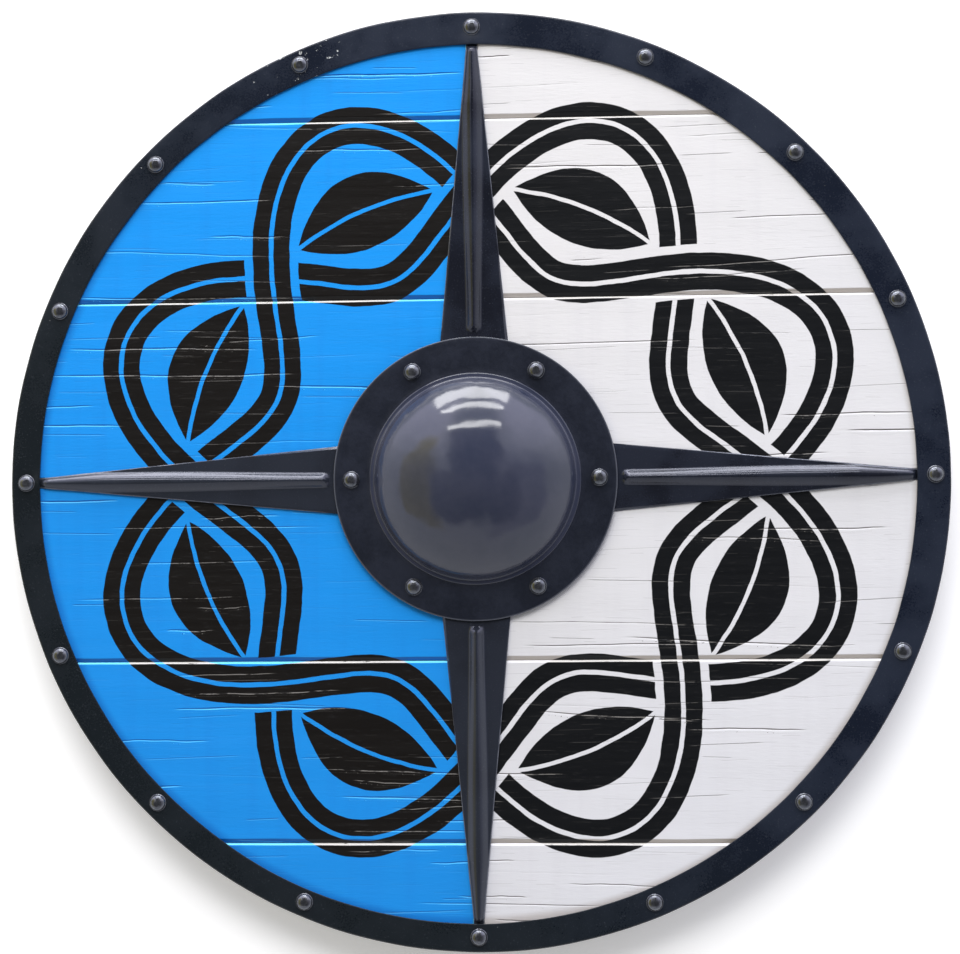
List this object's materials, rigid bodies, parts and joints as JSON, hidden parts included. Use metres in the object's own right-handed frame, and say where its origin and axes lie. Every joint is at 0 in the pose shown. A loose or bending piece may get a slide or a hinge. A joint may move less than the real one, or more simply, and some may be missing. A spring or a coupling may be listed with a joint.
{
  "type": "wooden round shield",
  "caption": "Round wooden shield of painted planks in a riveted iron rim, with ribbed iron arms in a cross, a domed iron boss and a wooden grip across the hand hole behind it.",
  "frame": {"origin": "centre of the grip's flat back, on the floor that the shield lies on", "axes": "+Z out of the shield's face, the way the boss points; +Y towards the top of the shield; +X to the right, along the planks"},
  "size_m": [0.6096, 0.6096, 0.0699],
  "materials": {
    "painted_wood": "satin paint on wood, blue on the left half and white on the right",
    "bare_wood": "oiled, matt",
    "rim_steel": "blue-black, satin, a little mottled and chipped",
    "arm_steel": "blue-black, satin, with worn edges",
    "boss_steel": "dark steel, glossy on the dome and satin on the flange",
    "rivet_steel": "dark steel, glossy"
  },
  "bodies": {
    "root": {"plank_1": "painted_wood", "plank_2": "painted_wood", "plank_3": "painted_wood", "plank_4": "painted_wood", "plank_5": "painted_wood", "plank_6": "painted_wood", "rim": "rim_steel", "arm_top": "arm_steel", "arm_right": "arm_steel", "arm_bottom": "arm_steel", "arm_left": "arm_steel", "boss": "boss_steel", "rim_rivet_01": "rivet_steel", "rim_rivet_02": "rivet_steel", "rim_rivet_03": "rivet_steel", "rim_rivet_04": "rivet_steel", "rim_rivet_05": "rivet_steel", "rim_rivet_06": "rivet_steel", "rim_rivet_07": "rivet_steel", "rim_rivet_08": "rivet_steel", "rim_rivet_09": "rivet_steel", "rim_rivet_10": "rivet_steel", "rim_rivet_11": "rivet_steel", "rim_rivet_12": "rivet_steel", "rim_rivet_13": "rivet_steel", "rim_rivet_14": "rivet_steel", "rim_rivet_15": "rivet_steel", "rim_rivet_16": "rivet_steel", "boss_rivet_1": "rivet_steel", "boss_rivet_2": "rivet_steel", "boss_rivet_3": "rivet_steel", "boss_rivet_4": "rivet_steel", "boss_rivet_5": "rivet_steel", "boss_rivet_6": "rivet_steel", "grip": "bare_wood"}
  },
  "joints": []
}
